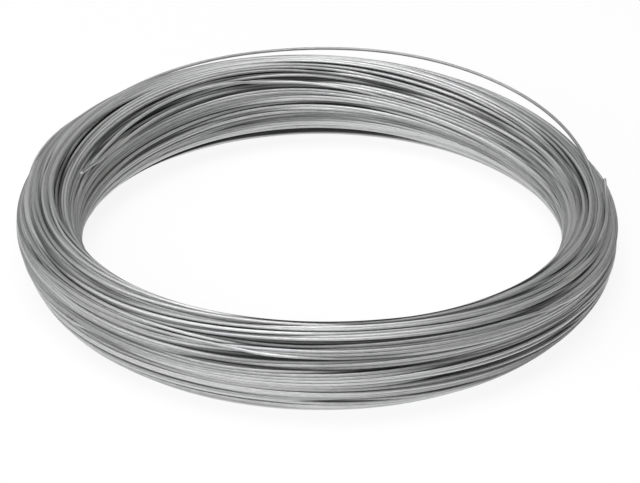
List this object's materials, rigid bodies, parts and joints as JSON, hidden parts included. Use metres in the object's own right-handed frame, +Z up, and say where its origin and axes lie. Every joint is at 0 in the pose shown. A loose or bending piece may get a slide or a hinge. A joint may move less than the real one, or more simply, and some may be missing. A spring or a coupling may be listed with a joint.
{
  "type": "coil of galvanized wire",
  "caption": "Flat ring-shaped coil of thin galvanized steel wire with a round open bore, its turns laid side by side and bundled loosely.",
  "frame": {"origin": "on the coil's axis, at the level it lies on", "axes": "+Z up, along the coil's axis; +Y towards the sprung turn's side; +X to its right"},
  "size_m": [0.31, 0.31, 0.0513],
  "materials": {
    "galvanized_wire": "hot-dip galvanized zinc, satin"
  },
  "bodies": {
    "root": {"wire_coil": "galvanized_wire"}
  },
  "joints": []
}
